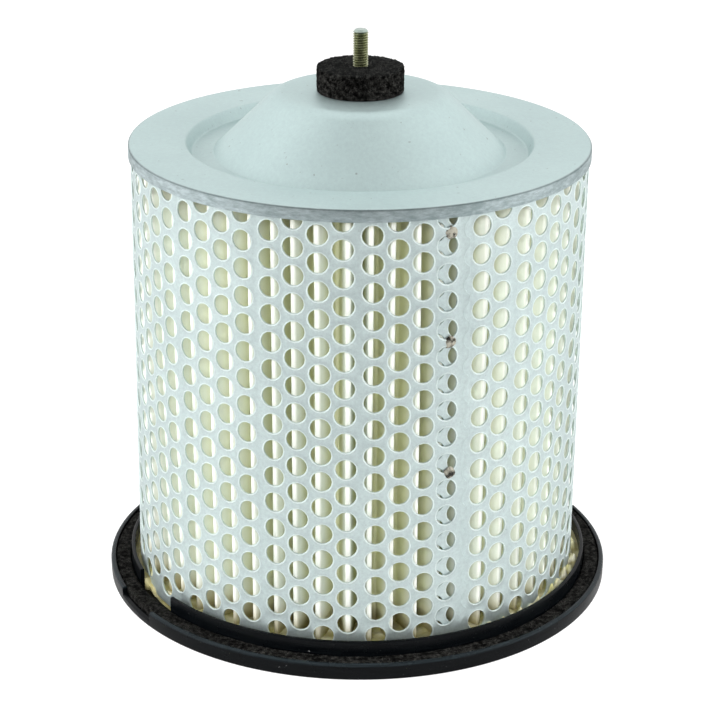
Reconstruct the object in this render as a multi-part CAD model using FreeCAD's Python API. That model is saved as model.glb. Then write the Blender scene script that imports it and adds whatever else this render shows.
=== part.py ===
# Round motorcycle air filter: a pleated paper element between a steel end cap
# with a clamping stud and a moulded base ring with a foam seal.
# Millimetres, +Z up. The origin is the centre of the base ring's underside.
import FreeCAD, Part
import math
import os

# Clean-air outlet and core tube, which is bent in flats, from the middle outwards
OUTLET_R = 55.0            # bore through the base ring
COLLAR_WALL = 2.0          # collar that centres the core tube
COLLAR_GAP = 0.8           # glue between the collar and the core tube
CORE_SHEET = 0.5           # core tube's sheet

# Pleated paper
PLEAT_COUNT = 62
PLEAT_DEPTH = 12.5         # from the inner folds to the outer folds
PLEAT_CLEAR = 0.3          # between the folds and the tubes
PAPER = 0.8                # thickness of the paper
FOLD_WIDTH = 1.5           # width of the outer side of a fold

# Perforated outer shell, bent from one sheet with a flat for each column of holes
SHELL_SHEET = 0.5
SHELL_HEIGHT = 149.0
SHELL_FLATS = 24
LAP_FLAT_CENTRE = 21.8     # degrees, middle of the flat where the sheet's ends lap

# Perforations, drawn coarser than the real ones
SHELL_HOLE_ROWS = 6
CORE_FLATS = 12
CORE_HOLE_ROWS = 3
HOLE_SIDES = 6
HOLE_SHARE = 0.8           # hole's width over corners, over the distance between holes
SHELL_PLAIN_EDGE = 7.0     # unperforated band at each end of the shell
CORE_PLAIN_EDGE = 9.0      # unperforated band at each end of the core tube

# Foam seal in the base ring
SEAL_WIDTH = 4.9
SEAL_HEIGHT = 3.2
SEAL_CLEAR = 0.3           # between the seal and the walls beside it

# Base ring
RING_WALL = 1.7            # outer wall
RING_HEIGHT = 5.5          # outer wall's top
RING_FLOOR = 2.0
RING_BEVEL = 0.6           # outer wall's top edge
DAM_WALL = 1.3             # inner wall, which holds the glue
DAM_HEIGHT = 9.0
DAM_GAP = 2.5              # glue between the inner wall and the shell
COLLAR_HEIGHT = 9.0
NOTCH_LEDGE = 2.9          # what is left of the outer wall in a notch
NOTCH_ANGLE = 14.0         # degrees
DAM_OPEN_ANGLE = 17.0      # degrees, gap in the inner wall at each notch
NOTCH_CENTRES = (-60.0, 120.0)

# Glue
GLUE_BED = 1.0             # under the tubes' lower ends
GLUE_HEIGHT = 6.5          # top of the glue in the base ring
CAP_GLUE_BED = 0.6         # between the tubes' upper ends and the cap
CAP_GLUE_DEPTH = 5.0       # glue under the cap's annulus

# End cap, one stamping
CAP_SHEET = 0.6
CAP_CLEAR = 0.1            # between the skirt and the shell
CAP_SKIRT = 4.5
CAP_BEVEL = 0.5            # rim's edge
STEP_CLEAR = 0.2           # between the recess and the core tube
STEP_DEPTH = 3.7
STEP_RUN = 2.0             # how far the recess's wall leans inwards
RECESS_WIDTH = 7.0         # floor of the recess
CONE_RUN = 20.2            # from the recess's floor in to the plateau's corner
CONE_HEIGHT = 19.9         # plateau over the recess's floor
CONE_SHOULDER = 7.0        # radius between the slope and the plateau
CONE_FOOT = 5.0            # radius between the slope and the recess's floor
BEND_STEPS = 1             # cones that stand for each of these roundings

# Stud and foam washer
STUD_R = 2.5               # thread's outside radius, M5
STUD_SHANK_R = 2.25        # unthreaded shank of a rolled thread
STUD_CLEAR = 0.1           # in the cap's hole
STUD_HEAD_R = 6.0
STUD_HEAD = 1.6
STUD_CHAMFER = 0.5
THREAD_LENGTH = 11.3
WASHER_R = 14.4
WASHER_HEIGHT = 8.6
WASHER_HOLE_CLEAR = 0.3

# Places that follow from the sizes above
COLLAR_R = OUTLET_R + COLLAR_WALL
CORE_BORE = (COLLAR_R + COLLAR_GAP) / math.cos(math.pi / CORE_FLATS)
CORE_R = CORE_BORE + CORE_SHEET / math.cos(math.pi / CORE_FLATS)
INNER_FOLD_R = CORE_R + PLEAT_CLEAR
OUTER_FOLD_R = INNER_FOLD_R + PLEAT_DEPTH
SHELL_R = (OUTER_FOLD_R + PLEAT_CLEAR + 2 * SHELL_SHEET) / math.cos(math.pi / SHELL_FLATS)
DAM_BORE = SHELL_R + DAM_GAP
DAM_R = DAM_BORE + DAM_WALL
CHANNEL_R = DAM_R + SEAL_WIDTH + 2 * SEAL_CLEAR
RING_R = CHANNEL_R + RING_WALL
TUBE_BOTTOM = RING_FLOOR + GLUE_BED
TUBE_TOP = TUBE_BOTTOM + SHELL_HEIGHT
CAP_UNDER = TUBE_TOP + CAP_GLUE_BED
CAP_TOP = CAP_UNDER + CAP_SHEET
CAP_GLUE_BOTTOM = CAP_UNDER - CAP_GLUE_DEPTH
SKIRT_R = SHELL_R + CAP_CLEAR + CAP_SHEET
STEP_R = COLLAR_R + COLLAR_GAP - STEP_CLEAR - CAP_SHEET
CONE_FOOT_R = STEP_R - STEP_RUN - RECESS_WIDTH
CONE_TOP_R = CONE_FOOT_R - CONE_RUN
RECESS_Z = CAP_TOP - STEP_DEPTH
PLATEAU_Z = RECESS_Z + CONE_HEIGHT
WASHER_TOP = PLATEAU_Z + WASHER_HEIGHT
STUD_TOP = WASHER_TOP + THREAD_LENGTH + STUD_CHAMFER

CUT_MARGIN = 0.2           # how far a cutter reaches past what it cuts

UP = FreeCAD.Vector(0, 0, 1)
ORIGIN = FreeCAD.Vector(0, 0, 0)


def around(radius, degrees, z=0.0):
    """Point at an angle from the front (-Y), counted towards +X."""
    a = math.radians(degrees)
    return FreeCAD.Vector(radius * math.sin(a), -radius * math.cos(a), z)


def arc(radius, start, end, z=0.0):
    """Edge along a circle about the axis."""
    return Part.Arc(around(radius, start, z), around(radius, (start + end) / 2, z),
                    around(radius, end, z)).toShape()


def turned(outline):
    """Solid of revolution from a closed outline of (radius, z) points."""
    points = [FreeCAD.Vector(r, 0, z) for r, z in outline]
    face = Part.Face(Part.makePolygon(points + points[:1]))
    return face.revolve(ORIGIN, UP, 360)


def ring(inner, outer, bottom, top):
    return turned([(inner, bottom), (outer, bottom), (outer, top), (inner, top)])


def sector(inner, outer, bottom, top, centre, width):
    """Block between two radii and two angles."""
    start = centre - width / 2
    end = centre + width / 2
    edges = [arc(outer, start, end, bottom),
             Part.makeLine(around(outer, end, bottom), around(inner, end, bottom)),
             arc(inner, end, start, bottom),
             Part.makeLine(around(inner, start, bottom), around(outer, start, bottom))]
    return Part.Face(Part.Wire(edges)).extrude(UP * (top - bottom))


def solid_of(shape):
    """The one solid in a result, checked."""
    clean = shape.removeSplitter()
    if len(clean.Solids) != 1:
        raise ValueError("%d solids where one was expected" % len(clean.Solids))
    return clean.Solids[0]


def hole_prism(radius, degrees, z, width, depth):
    """Six-sided cutter from a radius inwards through a tube's wall."""
    corners = []
    for k in range(HOLE_SIDES):
        a = 2 * math.pi * (k + 0.5) / HOLE_SIDES
        corners.append(FreeCAD.Vector(width / 2 * math.cos(a), -radius, z + width / 2 * math.sin(a)))
    prism = Part.Face(Part.makePolygon(corners + corners[:1])).extrude(FreeCAD.Vector(0, depth, 0))
    prism.rotate(ORIGIN, UP, degrees)
    return prism


def perforate(tube, radius, flats, first_angle, edge, rows, layers):
    """Staggered holes in a tube, a column in each flat, with a plain band at each end."""
    pitch = (SHELL_HEIGHT - 2 * edge) / rows
    flat = 2 * radius * math.sin(math.pi / flats)
    spacing = min(pitch, flat, math.hypot(flat, pitch / 2))
    bow = radius * (1 - math.cos(math.pi / flats))
    cutters = []
    for column in range(flats):
        first = pitch / 4 if column % 2 else pitch * 3 / 4
        angle = first_angle + column * 360.0 / flats
        for row in range(rows):
            z = TUBE_BOTTOM + edge + first + pitch * row
            cutters.append(hole_prism(radius, angle, z, HOLE_SHARE * spacing, bow + layers + CUT_MARGIN))
    return solid_of(tube.cut(cutters))


def flats_at(radius, count, first_angle):
    """Closed outline of a tube bent in flats, with its corners at a radius."""
    half = 180.0 / count
    corners = [around(radius, first_angle - half + k * 360.0 / count, TUBE_BOTTOM) for k in range(count)]
    return Part.Face(Part.makePolygon(corners + corners[:1]))


def deeper(radius, sheet, count):
    """Corner radius of the flats one sheet thickness further in."""
    return radius - sheet / math.cos(math.pi / count)


def plain_core():
    outside = flats_at(CORE_R, CORE_FLATS, 0)
    inside = flats_at(CORE_BORE, CORE_FLATS, 0)
    return outside.cut(inside).extrude(UP * SHELL_HEIGHT)


def make_inner_tube():
    return perforate(plain_core(), CORE_R, CORE_FLATS, 0, CORE_PLAIN_EDGE, CORE_HOLE_ROWS,
                     CORE_SHEET)


def shell_lap():
    """Second layer of the sheet, inside the flat where its ends lap."""
    half = 180.0 / SHELL_FLATS
    outer = deeper(SHELL_R, SHELL_SHEET, SHELL_FLATS)
    inner = deeper(outer, SHELL_SHEET, SHELL_FLATS)
    ends = (LAP_FLAT_CENTRE - half, LAP_FLAT_CENTRE + half)
    corners = [around(outer, ends[0], TUBE_BOTTOM), around(outer, ends[1], TUBE_BOTTOM),
               around(inner, ends[1], TUBE_BOTTOM), around(inner, ends[0], TUBE_BOTTOM)]
    return Part.Face(Part.makePolygon(corners + corners[:1])).extrude(UP * SHELL_HEIGHT)


def plain_shell():
    outside = flats_at(SHELL_R, SHELL_FLATS, LAP_FLAT_CENTRE)
    inside = flats_at(deeper(SHELL_R, SHELL_SHEET, SHELL_FLATS), SHELL_FLATS, LAP_FLAT_CENTRE)
    return solid_of(outside.cut(inside).extrude(UP * SHELL_HEIGHT).fuse(shell_lap()))


def make_outer_shell():
    return perforate(plain_shell(), SHELL_R, SHELL_FLATS, LAP_FLAT_CENTRE, SHELL_PLAIN_EDGE,
                     SHELL_HOLE_ROWS, 2 * SHELL_SHEET)


def make_pleated_media():
    """Zigzag strip of even thickness, closed on itself."""
    half_pitch = math.pi * (OUTER_FOLD_R + INNER_FOLD_R) / 2 / PLEAT_COUNT
    lean = math.atan((half_pitch - FOLD_WIDTH / 2) / PLEAT_DEPTH)
    sharp = FOLD_WIDTH / 2 - PAPER * (1 - math.sin(lean)) / math.cos(lean)

    def at(radius, angle, sideways):
        return around(radius, angle + math.degrees(sideways / radius), GLUE_HEIGHT)

    outside = []
    inside = []
    step = 360.0 / PLEAT_COUNT
    for k in range(PLEAT_COUNT):
        tip = k * step
        valley = tip + step / 2
        outside += [at(OUTER_FOLD_R, tip, -FOLD_WIDTH / 2), at(OUTER_FOLD_R, tip, FOLD_WIDTH / 2),
                    at(INNER_FOLD_R + PAPER, valley, -sharp), at(INNER_FOLD_R + PAPER, valley, sharp)]
        inside += [at(OUTER_FOLD_R - PAPER, tip, -sharp), at(OUTER_FOLD_R - PAPER, tip, sharp),
                   at(INNER_FOLD_R, valley, -FOLD_WIDTH / 2), at(INNER_FOLD_R, valley, FOLD_WIDTH / 2)]
    wires = [Part.makePolygon(path + path[:1]) for path in (outside, inside)]
    strip = Part.Face(wires[0]).cut(Part.Face(wires[1]))
    return strip.Faces[0].extrude(UP * (CAP_GLUE_BOTTOM - GLUE_HEIGHT))


def make_base_ring():
    """Outer wall, foam channel, inner wall, trough and collar in one moulding."""
    body = turned([(OUTLET_R, 0), (RING_R, 0),
                   (RING_R, RING_HEIGHT - RING_BEVEL), (RING_R - RING_BEVEL, RING_HEIGHT),
                   (CHANNEL_R, RING_HEIGHT), (CHANNEL_R, RING_FLOOR), (DAM_R, RING_FLOOR),
                   (DAM_R, DAM_HEIGHT), (DAM_BORE, DAM_HEIGHT), (DAM_BORE, RING_FLOOR),
                   (COLLAR_R, RING_FLOOR), (COLLAR_R, COLLAR_HEIGHT), (OUTLET_R, COLLAR_HEIGHT)])
    cuts = []
    for centre in NOTCH_CENTRES:
        cuts.append(sector(CHANNEL_R - CUT_MARGIN, RING_R + CUT_MARGIN, NOTCH_LEDGE,
                           RING_HEIGHT + CUT_MARGIN, centre, NOTCH_ANGLE))
        cuts.append(sector(DAM_BORE - CUT_MARGIN, DAM_R + CUT_MARGIN, RING_FLOOR,
                           DAM_HEIGHT + CUT_MARGIN, centre, DAM_OPEN_ANGLE))
    return solid_of(body.cut(cuts))


def make_seal_foam():
    return ring(DAM_R + SEAL_CLEAR, CHANNEL_R - SEAL_CLEAR, RING_FLOOR, RING_FLOOR + SEAL_HEIGHT)


def make_bottom_potting():
    """Glue in the trough, round the ends of both tubes."""
    bed = ring(COLLAR_R, DAM_BORE, RING_FLOOR, GLUE_HEIGHT)
    return solid_of(bed.cut([plain_shell(), plain_core()]))


def make_top_potting():
    """Glue under the cap's annulus: between the tubes, and over their ends."""
    block = flats_at(SHELL_R, SHELL_FLATS, LAP_FLAT_CENTRE).cut(flats_at(CORE_BORE, CORE_FLATS, 0))
    block.translate(UP * (CAP_GLUE_BOTTOM - TUBE_BOTTOM))
    block = block.extrude(UP * (CAP_UNDER - CAP_GLUE_BOTTOM))
    return solid_of(block.cut([plain_shell(), plain_core()]))


def make_top_cap():
    """Skirt, rim, annulus, recess, cone and plateau of one sheet."""
    lean = math.atan(STEP_RUN / STEP_DEPTH)
    across = CAP_SHEET * math.tan((math.pi / 2 - lean) / 2)
    rise = math.atan(CONE_HEIGHT / CONE_RUN)
    shift = CAP_SHEET * math.tan(rise / 2)
    hole = STUD_SHANK_R + STUD_CLEAR
    foot = arc_between(CONE_FOOT_R, RECESS_Z, CONE_FOOT, rise, 1)
    shoulder = arc_between(CONE_TOP_R, PLATEAU_Z, CONE_SHOULDER, rise, -1)
    low_foot = arc_between(CONE_FOOT_R - shift, RECESS_Z - CAP_SHEET, CONE_FOOT + CAP_SHEET, rise, 1)
    low_shoulder = arc_between(CONE_TOP_R - shift, PLATEAU_Z - CAP_SHEET, CONE_SHOULDER - CAP_SHEET, rise, -1)
    outline = [(SKIRT_R, CAP_TOP - CAP_SKIRT), (SKIRT_R, CAP_TOP - CAP_BEVEL),
               (SKIRT_R - CAP_BEVEL, CAP_TOP), (STEP_R, CAP_TOP), (STEP_R - STEP_RUN, RECESS_Z)]
    outline += foot + shoulder + [(hole, PLATEAU_Z), (hole, PLATEAU_Z - CAP_SHEET)]
    outline += low_shoulder[::-1] + low_foot[::-1]
    outline += [(STEP_R - STEP_RUN + across, RECESS_Z - CAP_SHEET), (STEP_R + across, CAP_UNDER),
                (SKIRT_R - CAP_SHEET, CAP_UNDER), (SKIRT_R - CAP_SHEET, CAP_TOP - CAP_SKIRT)]
    return turned(outline)


def arc_between(corner_r, corner_z, radius, rise, side):
    """Points along the rounding where a level part meets a slope, outer end first."""
    reach = radius * math.tan(rise / 2)
    points = []
    for k in range(BEND_STEPS + 1):
        share = k / BEND_STEPS
        turn = rise * (share if side > 0 else 1 - share)
        level_end = corner_r + side * reach
        points.append((level_end - side * radius * math.sin(turn),
                       corner_z + side * radius * (1 - math.cos(turn))))
    return points


def make_stud():
    """Weld stud: head under the plateau, plain shank, thread above the washer."""
    under = PLATEAU_Z - CAP_SHEET
    return turned([(0, under - STUD_HEAD), (STUD_HEAD_R, under - STUD_HEAD), (STUD_HEAD_R, under),
                   (STUD_SHANK_R, under), (STUD_SHANK_R, WASHER_TOP), (STUD_R, WASHER_TOP),
                   (STUD_R, STUD_TOP - STUD_CHAMFER), (STUD_R - STUD_CHAMFER, STUD_TOP), (0, STUD_TOP)])


def make_foam_washer():
    return ring(STUD_SHANK_R + WASHER_HOLE_CLEAR, WASHER_R, PLATEAU_Z, WASHER_TOP)


PIECES = {
    "base_ring": make_base_ring,
    "seal_foam": make_seal_foam,
    "bottom_potting": make_bottom_potting,
    "inner_tube": make_inner_tube,
    "pleated_media": make_pleated_media,
    "outer_shell": make_outer_shell,
    "top_potting": make_top_potting,
    "top_cap": make_top_cap,
    "stud": make_stud,
    "foam_washer": make_foam_washer,
}

os.makedirs("parts", exist_ok=True)
for name, make in PIECES.items():
    shape = make()
    if not shape.isValid() or len(shape.Solids) != 1:
        raise ValueError(name + " is not one valid solid")
    shape.exportStep("parts/" + name + ".step")
    print(name, "volume %.0f mm3" % shape.Volume)
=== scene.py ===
# Looks of a round air filter: perforated steel shell over pleated paper, a steel
# cap with a threaded stud and a foam pad, and a black base ring with a foam seal.
# Lengths in the helpers are millimetres, angles are degrees from the front (-Y)
# towards +X, and every mesh is written in metres in the row frame.
import math
import random

import bpy
from mathutils import Matrix, Vector, noise


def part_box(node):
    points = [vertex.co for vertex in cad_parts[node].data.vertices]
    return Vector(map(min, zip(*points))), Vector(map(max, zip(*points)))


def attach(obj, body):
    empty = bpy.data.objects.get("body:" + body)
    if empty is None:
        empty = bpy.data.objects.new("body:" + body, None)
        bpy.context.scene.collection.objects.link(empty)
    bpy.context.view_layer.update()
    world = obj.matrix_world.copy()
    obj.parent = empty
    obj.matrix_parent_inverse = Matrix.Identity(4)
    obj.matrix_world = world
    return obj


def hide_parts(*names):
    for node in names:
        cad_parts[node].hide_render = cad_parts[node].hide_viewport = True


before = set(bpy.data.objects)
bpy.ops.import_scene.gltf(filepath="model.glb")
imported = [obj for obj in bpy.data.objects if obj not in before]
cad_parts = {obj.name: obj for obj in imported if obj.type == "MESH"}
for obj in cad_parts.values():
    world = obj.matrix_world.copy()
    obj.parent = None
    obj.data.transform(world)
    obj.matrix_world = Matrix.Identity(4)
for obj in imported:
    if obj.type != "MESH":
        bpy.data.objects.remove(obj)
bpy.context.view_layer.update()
MM = 0.001


def frame_mm(node):
    """Half of a node's width, its lowest and its highest z, in millimetres."""
    low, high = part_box(node)
    return high.x / MM, low.z / MM, high.z / MM


# Sizes taken from the frame
SHELL_R, TUBE_BOTTOM, TUBE_TOP = frame_mm("outer_shell")
CAP_R, SKIRT_BOTTOM, PLATEAU_TOP = frame_mm("top_cap")
RING_R, RING_BOTTOM, DAM_TOP = frame_mm("base_ring")
_, SEAL_BOTTOM, SEAL_TOP = frame_mm("seal_foam")
PLEAT_R, PLEAT_BOTTOM, PLEAT_TOP = frame_mm("pleated_media")
WASHER_R, WASHER_BOTTOM, WASHER_TOP = frame_mm("foam_washer")
STUD_HEAD_R, _, STUD_TOP = frame_mm("stud")
GLUE_TOP = frame_mm("bottom_potting")[2]
CORE_R = frame_mm("inner_tube")[0]
POT_BOTTOM = frame_mm("top_potting")[1]

# Camera, fitted to the photograph
LENS = 112.87
AIM = (0.00048, 0.0, 0.0752)       # metres, and so is the distance
DISTANCE = 0.7681
ELEVATION = 21.752
ROLL = 0.391

# Light: strength of the world in the four directions, and of the lamps
WORLD_FRONT = 0.40
WORLD_BACK = 1.05
WORLD_SIDE = 1.6
WORLD_OVERHEAD = 0.45
FRONT_TO_BACK = (-0.80, -0.05)     # where a direction's Y leaves the front and is at the back
MIDDLE_TO_SIDE = (0.55, 0.95)      # the same for its X, to either side
LEVEL_TO_OVERHEAD = (0.35, 0.95)   # the same for its Z
BACKDROP_EDGE = (-0.35, 0.0)       # the Y from which metal mirrors the white background
FLOOR_GREY = 0.45
FLOOR_GLOW = 0.68                  # to the camera
FLOOR_MIRRORED = 0.2               # in reflections
FLOOR_REACH = 6.0                  # metres
FLOOR_FRONT = -0.34                # metres
LAMP_SIZE = 0.8                    # metres, and so are the places of the lamps
LAMP_AIM = (0, 0, 0.08)
KEY_SPOT = (-0.15, -1.5, 0.75)
KEY_WATTS = 19.0
LEFT_SPOT = (-1.1, -0.15, 0.55)
RIGHT_SPOT = (1.1, -0.15, 0.55)
SIDE_WATTS = 15.0

# Perforated sheet
SHEET = 0.5
HOLE_R = 3.3
HOLE_PITCH = 9.0
TOP_HOLE = 149.3            # centre of the highest hole of every second column
IN_GROUP = 5.90             # degrees between columns inside a group of four
GROUP_GAP = 6.9             # degrees between two groups in front
GROUP = 4
GROUPS = 15
FRONT_GAPS = (0, 1, 11, 12, 13)    # gaps after these groups are seen in the photograph
FIRST_COLUMN = 18.8         # cut through by the sheet's end under the lap
LAST_COLUMN = 381.35        # last whole column, on top, one turn further
INNER_END = 17.0
CUT_SHIFT = -0.4            # the cut-through holes are a little out of step,
LAP_SHIFT = -0.45           # and so is the first whole column under the lap
OUTER_END = 387.2           # the sheet's end on top, also cut through a column
LAP_STEP = (31.0, 46.0)     # degrees over which the sheet steps out from under the lap
LAP_CLEAR = 0.12            # between the two layers of the lap
LIP = 0.28                  # rounding at the punched edge
LIP_RISE = 0.09             # the punched edge stands out a little
CUT_RISE = 0.06             # and less along a cut end
LIP_DROP = 0.10             # depth where the lip ends and the hole's wall starts
CELL_SIDE = 4               # faces along one side of the cell round a hole
CUT_STEPS = 6               # finer steps along a cut end, for each of the cell's
STRAY = 0.07                # how far a hole may stand off its place
RIPPLE = 0.10               # unevenness of the rolled sheet
TOP_BAND = 1.0              # at the ends of the tube the cells are squeezed to fit
LOW_BAND = 2.0
LOW_MARGIN = 2.5            # below the lowest holes
CUT_PLAIN = 4.0             # foot of a cut end that runs straight

# The element in its ring
LEAN = 0.7                  # how far its lower end stands off the ring's centre
SKEW_TOP = -0.6             # degrees by which the sheet is rolled out of true
SKEW_BOTTOM = 1.7
WELD_ANGLE = 22.3
WELD_HEIGHTS = (144.4, 109.0, 64.8)
WELD_R = 2.1
WELD_HUMP = 0.42

# Core tube
CORE_SHEET_R = 59.1
CORE_COLUMNS = 42
CORE_TOP_HOLE = 147.0
CORE_PITCH = 9.2
CORE_HOLE_R = 3.0
CORE_END = 0.55             # of a column, past the full turn
CORE_LAP_STEP = (12.0, 40.0)
CORE_LAP_CLEAR = 0.05

# Folds of the paper: the seen ones as photographed, the others evenly spaced
SEEN_FOLDS = (-59.7, -53.2, -46.6, -39.6, -33.5, -27.3, -21.3, -16.1, -10.2, -2.6, 2.8,
              8.2, 14.5, 20.4, 26.6, 32.8, 39.6, 46.4, 53.4, 60.0, 66.3)
FOLDS = 62
PAPER = 0.6
FOLD_SKEW = 0.9             # degrees by which they lean out of true, towards the foot
FOLD_FLAT = 0.35
FRONT_FOLD_FLAT = 0.55      # the folds in front are creased flatter
FRONT_FOLDS = 12.0
FOLD_CORNER = 0.22
FOLD_STRAY = 0.6            # degrees by which a hidden fold is out of place
TIP_SHORT = 0.45            # the tips stay inside the solid's,
TIP_UNEVEN = 0.35           # some more than others
VALLEY_R = 1.1
VALLEY_STRAY = 0.4          # degrees
VALLEY_RISE = 0.5           # above the flats of the solid core tube, and again unevenly
FLANK_STEPS = 7
PAPER_ROWS = 20

# Cap
CAP_SHEET = 0.6
STEP_R = 57.0
STEP_FOOT_R = 55.0
CONE_FOOT_R = 48.0
CONE_TOP_R = 27.8
CAP_TOP = 153.2
RECESS_Z = 149.5
RIM_BEND = 0.45
STEP_BEND = 0.9
STEP_FOOT_BEND = 1.0
CONE_FOOT_BEND = 1.1
PLATEAU_BEND = 7.5
SKIRT_TRIM = 0.55           # the skirt's cut edge stands this far above the CAD's
SKIRT_R = 74.0              # the skirt lies outside this radius
SKIRT_STEP = 0.5            # size of the faces on the skirt
FLAT_STEP = 2.2             # elsewhere a point is kept if this step has it too
SKIRT_FROM = (72.0, 75.0)   # radii over which the dents turn from upwards to sideways
CREASE_Z = 153.0            # crease on the rim's bend, dented and darkened with painted shade
CREASE_WIDTH = 0.18
CREASE_DEPTH = 0.10
CAP_AROUND = 220            # faces round the cap

# Base ring
DAM_R = 78.9
DAM_BORE = 77.6
DAM_RAISE = 0.8             # the photographed wall is a little higher than the CAD's
CHANNEL_R = 84.4
COLLAR_R = 57.0
OUTLET_R = 55.0
RING_TOP = 5.5
RING_FLOOR = 2.0
SILL = 0.5                  # what is left of the inner wall in its gaps
NOTCH_LEDGE = 2.9
NOTCH_CENTRES = (-60.0, 120.0)
NOTCH_ANGLE = 14.0
DAM_OPEN_ANGLE = 17.0

# Foam pad and foam seal
PAD_STEP = 0.42             # size of the faces across,
PAD_AROUND = 260            # and faces round
PAD_PORES = 1.25            # cells of the noise per millimetre
SEAL_STEP = 0.55
SEAL_AROUND = 900
SEAL_PORES = 0.85

# Adhesive under the cap
POT_RADII = (59.2, 74.35)
POT_FOOT = 1.3              # its lower face stands this far above the CAD's
POT_AROUND = 240

# Adhesive in the ring, by angle: where it has crept up, and how it fills the gaps
CREPT_RIGHT = (20.0, 45.0, 85.0, 110.0)    # starts, is full, fades, ends
CREPT_LEFT = (255.0, 285.0, 296.0, 304.0)
CREPT_RISE = 2.6
FILLED_SHIFT = 8.0          # the gap's left end is filled, this far from its centre
FILLED = (8.0, 1.5)         # degrees from there where it is empty, and full
GLUE_AROUND = 480

# Stud
THREAD_PITCH = 0.8
THREAD_DEPTH = 0.46
THREAD_STEPS = 12           # rows of faces for each turn
STUD_R = 2.5
SHANK_R = 2.25
HEAD_HEIGHT = 1.6
STUD_CHAMFER = 0.75


def place(radius, degrees, z):
    """Point in metres from a radius and height in mm and an angle from the front."""
    a = math.radians(degrees)
    return Vector((radius * math.sin(a) * MM, -radius * math.cos(a) * MM, z * MM))


def lean(point):
    """Moves a point of the element, which stands a little off the ring's centre."""
    share = 1 - point.z / (TUBE_TOP * MM)
    return point - Vector((LEAN * MM * share, 0, 0))


def skew(z):
    """Turn of the outer sheet at a height, because it is rolled slightly out of true."""
    return SKEW_BOTTOM + (SKEW_TOP - SKEW_BOTTOM) * z / TUBE_TOP


def wave(x, y=0.0, z=0.0, seed=0.0):
    """Smooth noise from -1 to 1."""
    return noise.noise(Vector((x + 17.3 * seed, y - 5.1 * seed, z + 3.7 * seed)))


def smoothstep(low, high, value):
    t = min(1.0, max(0.0, (value - low) / (high - low)))
    return t * t * (3 - 2 * t)


def build(name, verts, faces, sharp=30.0):
    """Mesh object, smooth except at edges sharper than an angle."""
    mesh = bpy.data.meshes.new(name)
    mesh.from_pydata(verts, [], faces)
    mesh.validate()
    mesh.shade_smooth()
    mesh.set_sharp_from_angle(angle=math.radians(sharp))
    obj = bpy.data.objects.new(name, mesh)
    bpy.context.scene.collection.objects.link(obj)
    return obj


def rounded(corners, closed=True, steps=6):
    """Points of an outline whose corners (r, z, radius) are arcs."""
    points = []
    last = len(corners) - 1
    for i, (r, z, radius) in enumerate(corners):
        here = Vector((r, z))
        if radius <= 0 or (not closed and i in (0, last)):
            points.append((r, z))
            continue
        back = (Vector(corners[i - 1][:2]) - here).normalized()
        ahead = (Vector(corners[(i + 1) % len(corners)][:2]) - here).normalized()
        half = back.angle(ahead) / 2
        centre = here + (back + ahead).normalized() * radius / math.sin(half)
        start = here + back * radius / math.tan(half) - centre
        end = here + ahead * radius / math.tan(half) - centre
        turn = math.atan2(start.x * end.y - start.y * end.x, start.dot(end))
        for k in range(steps + 1):
            p = Matrix.Rotation(turn * k / steps, 2) @ start + centre
            points.append((p.x, p.y))
    return points


def spaced(points, step, closed=True):
    """The same outline with its long stretches divided."""
    out = []
    count = len(points)
    for i in range(count if closed else count - 1):
        a = Vector(points[i])
        b = Vector(points[(i + 1) % count])
        parts = max(1, math.ceil((b - a).length / step))
        out += [tuple(a.lerp(b, k / parts)) for k in range(parts)]
    if not closed:
        out.append(points[-1])
    return out


def beside(corners, distance):
    """Corners of the same open outline, a distance to its left, radii kept parallel."""
    lines = []
    for (r0, z0, _), (r1, z1, _) in zip(corners, corners[1:]):
        along = Vector((r1 - r0, z1 - z0)).normalized()
        left = Vector((-along.y, along.x)) * distance
        lines.append((Vector((r0, z0)) + left, along))
    out = []
    for i, (r, z, radius) in enumerate(corners):
        if i == 0:
            p = lines[0][0]
        elif i == len(corners) - 1:
            p = Vector((r, z)) + lines[-1][0] - Vector(corners[i - 1][:2])
        else:
            (p0, a0), (p1, a1) = lines[i - 1], lines[i]
            cross = a0.x * a1.y - a0.y * a1.x
            t = ((p1.x - p0.x) * a1.y - (p1.y - p0.y) * a1.x) / cross
            p = p0 + a0 * t
            radius = radius - distance if cross > 0 else radius + distance
        out.append((p.x, p.y, max(radius, 0.05)))
    return out


def lathe(name, outline, around, shift=None, sharp=30.0):
    """Closed outline turned about the axis. shift(degrees, r, z) moves a point by (dr, dz)."""
    verts = []
    faces = []
    count = len(outline)
    for j in range(around):
        degrees = 360.0 * j / around
        for r, z in outline:
            dr, dz = shift(degrees, r, z) if shift else (0.0, 0.0)
            verts.append(place(r + dr, degrees, z + dz))
        for i in range(count):
            a = j * count + i
            b = j * count + (i + 1) % count
            c = ((j + 1) % around) * count + (i + 1) % count
            d = ((j + 1) % around) * count + i
            faces.append((a, d, c, b))
    return build(name, verts, faces, sharp)


def lip_profile(rise):
    """The punched edge from the face to the back, as (distance from the wall, depth)."""
    return (LIP * 1.6, 0.0), (LIP * 0.75, -rise), (0.0, LIP_DROP), (0.0, SHEET)


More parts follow.
